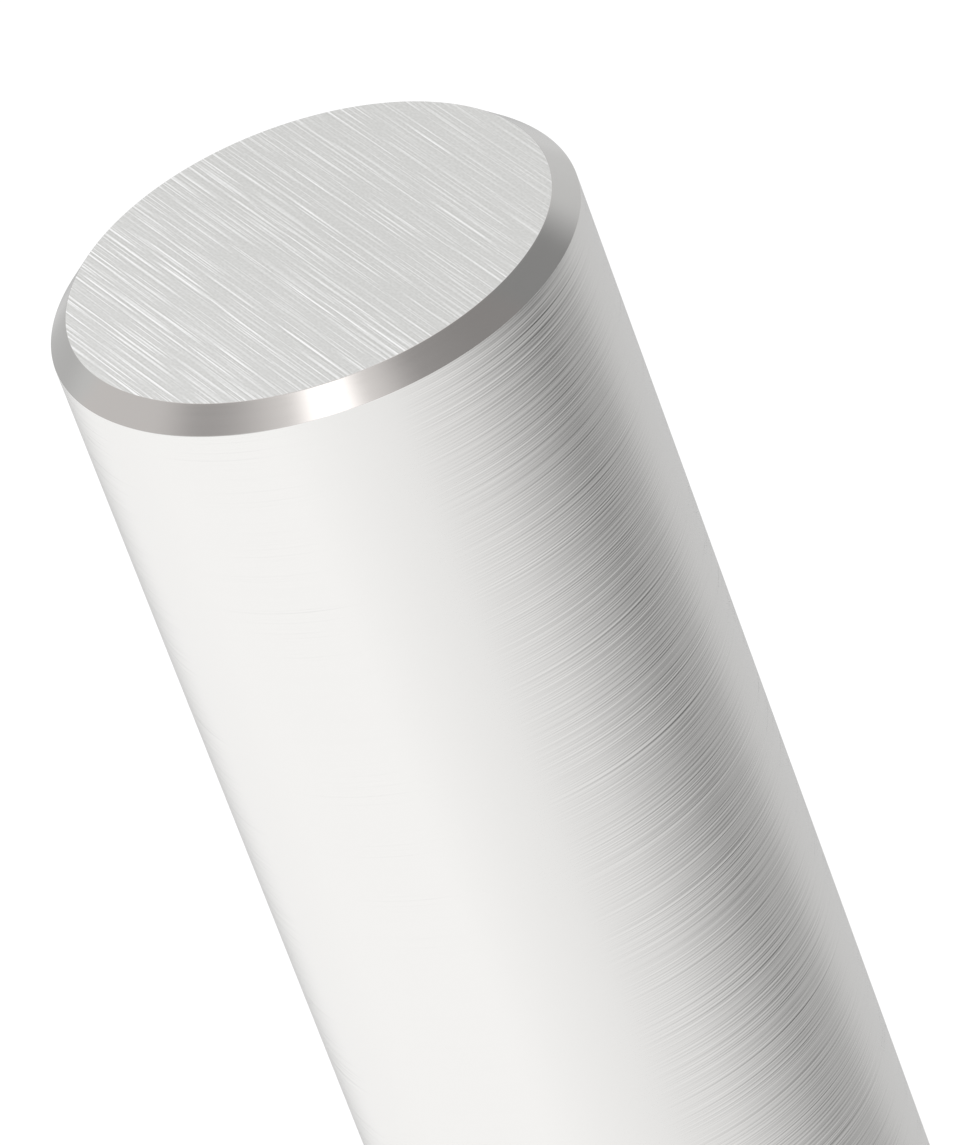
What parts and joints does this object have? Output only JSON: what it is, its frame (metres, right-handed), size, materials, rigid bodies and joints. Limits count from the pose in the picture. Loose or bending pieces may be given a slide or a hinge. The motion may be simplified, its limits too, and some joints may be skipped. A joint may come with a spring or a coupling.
{
  "type": "steel pin",
  "caption": "Straight round steel dowel pin with ground sides, flat brushed ends and a small 45 degree chamfer at each end.",
  "frame": {"origin": "centre of the pin's lower end face, on the floor that it stands on", "axes": "+Z along the pin's axis, up to the end that the picture shows; X and Y are any two directions across it, since the pin is round"},
  "size_m": [0.012, 0.012, 0.06],
  "materials": {
    "steel": "satin"
  },
  "bodies": {
    "root": {"pin": "steel"}
  },
  "joints": []
}
